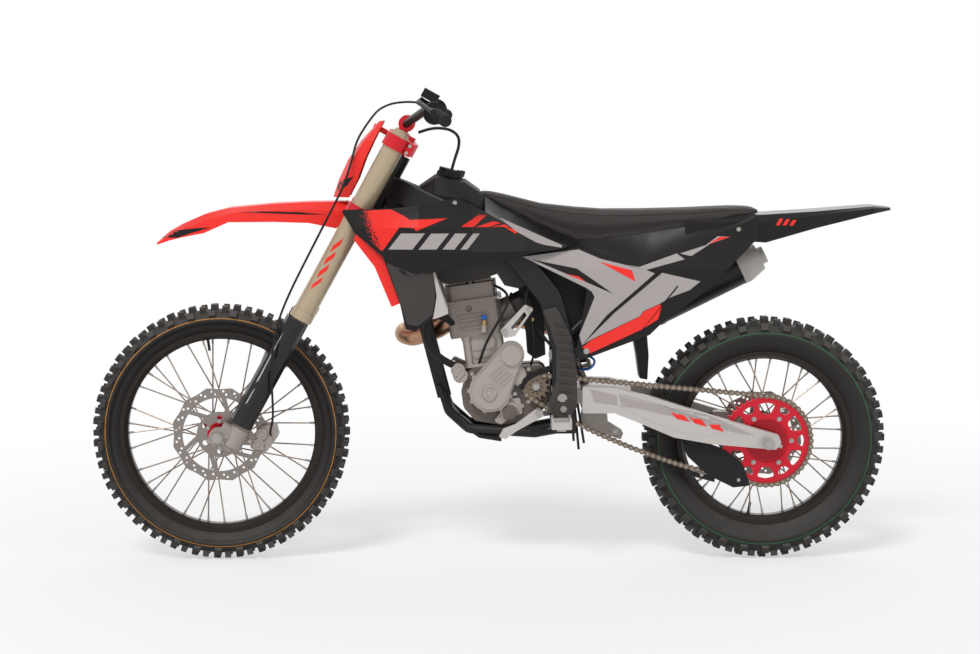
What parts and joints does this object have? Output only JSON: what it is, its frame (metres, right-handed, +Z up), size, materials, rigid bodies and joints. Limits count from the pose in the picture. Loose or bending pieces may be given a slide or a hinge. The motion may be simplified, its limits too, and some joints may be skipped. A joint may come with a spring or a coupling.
{
  "type": "motocross bike",
  "caption": "Off-road competition motorcycle with a single-cylinder engine, long-travel fork, spoked wheels with knobbly tyres, red and black plastics and a high seat",
  "frame": {"origin": "the rider's place on top of the seat, on the mid-plane", "axes": "+X to the rear along the bike, +Y to the rider's right, +Z up"},
  "size_m": [2.155, 0.8332, 1.2778],
  "materials": {
    "tyre": "matt knobbly rubber",
    "rim": "black anodised",
    "spoke": "bare steel, slightly bronze",
    "hub_red": "red anodised",
    "steel": "ground steel",
    "chain": "oiled steel",
    "gold": "gold anodised",
    "bare_alloy": "satin",
    "black_plastic": "moulded, fine grain",
    "gloss_black": "smooth",
    "red_plastic": "smooth, bright red",
    "frame_black": "satin black",
    "engine": "fine cast",
    "exhaust": "heat-tinted",
    "silencer": "satin black",
    "seat_cover": "grained grip cover",
    "rubber": "soft"
  },
  "bodies": {
    "chassis": {"airbox": "black_plastic", "brake_pedal": "bare_alloy", "chain_guide": "black_plastic", "crankcase": "engine", "cylinder": "engine", "cylinder_head": "engine", "drain_hoses": "rubber", "drive_chain": "chain", "engine_covers": "engine", "engine_stays": "engine", "footpegs": "bare_alloy", "frame_guards": "black_plastic", "front_sprocket": "chain", "fuel_cap": "black_plastic", "fuel_tank": "black_plastic", "head_cover": "engine", "header_pipe": "exhaust", "main_frame": "frame_black", "mud_flap": "black_plastic", "pivot_bolt": "steel", "radiator_guards": "red_plastic", "radiator_shrouds": "gloss_black", "radiators": "bare_alloy", "rear_axle": "steel", "rear_caliper": "bare_alloy", "rear_fender": "gloss_black", "seat": "seat_cover", "shift_lever": "bare_alloy", "shock_absorber": "steel", "shock_linkage": "engine", "side_panels": "gloss_black", "silencer": "silencer", "skid_guard": "black_plastic", "subframe": "bare_alloy", "swingarm": "bare_alloy", "throttle_body": "frame_black", "vent_hose": "rubber"},
    "steering": {"brake_hose": "rubber", "fork_clamps": "hub_red", "fork_guards": "black_plastic", "fork_legs": "bare_alloy", "fork_tubes": "gold", "front_axle": "steel", "front_caliper": "bare_alloy", "front_fender": "red_plastic", "grips": "rubber", "hand_controls": "frame_black", "handlebar": "frame_black", "number_plate": "red_plastic"},
    "front_wheel": {"front_disc": "steel", "front_hub": "hub_red", "front_rim": "rim", "front_spokes": "spoke", "front_tyre": "tyre"},
    "rear_wheel": {"rear_disc": "steel", "rear_hub": "hub_red", "rear_rim": "rim", "rear_spokes": "spoke", "rear_sprocket": "hub_red", "rear_tyre": "tyre"}
  },
  "joints": [
    {"name": "steering_head", "type": "hinge", "parent": "chassis", "child": "steering", "pos_m": [-0.63851, 0, 0.06721], "axis": [0.4818, 0, 0.8763], "range_deg": [-42, 42]},
    {"name": "front_wheel_turn", "type": "hinge", "parent": "steering", "child": "front_wheel", "pos_m": [-1.08, 0, -0.603], "axis": [0, 1, 0], "continuous": true},
    {"name": "rear_wheel_turn", "type": "hinge", "parent": "chassis", "child": "rear_wheel", "pos_m": [0.395, 0, -0.621], "axis": [0, 1, 0], "continuous": true}
  ]
}
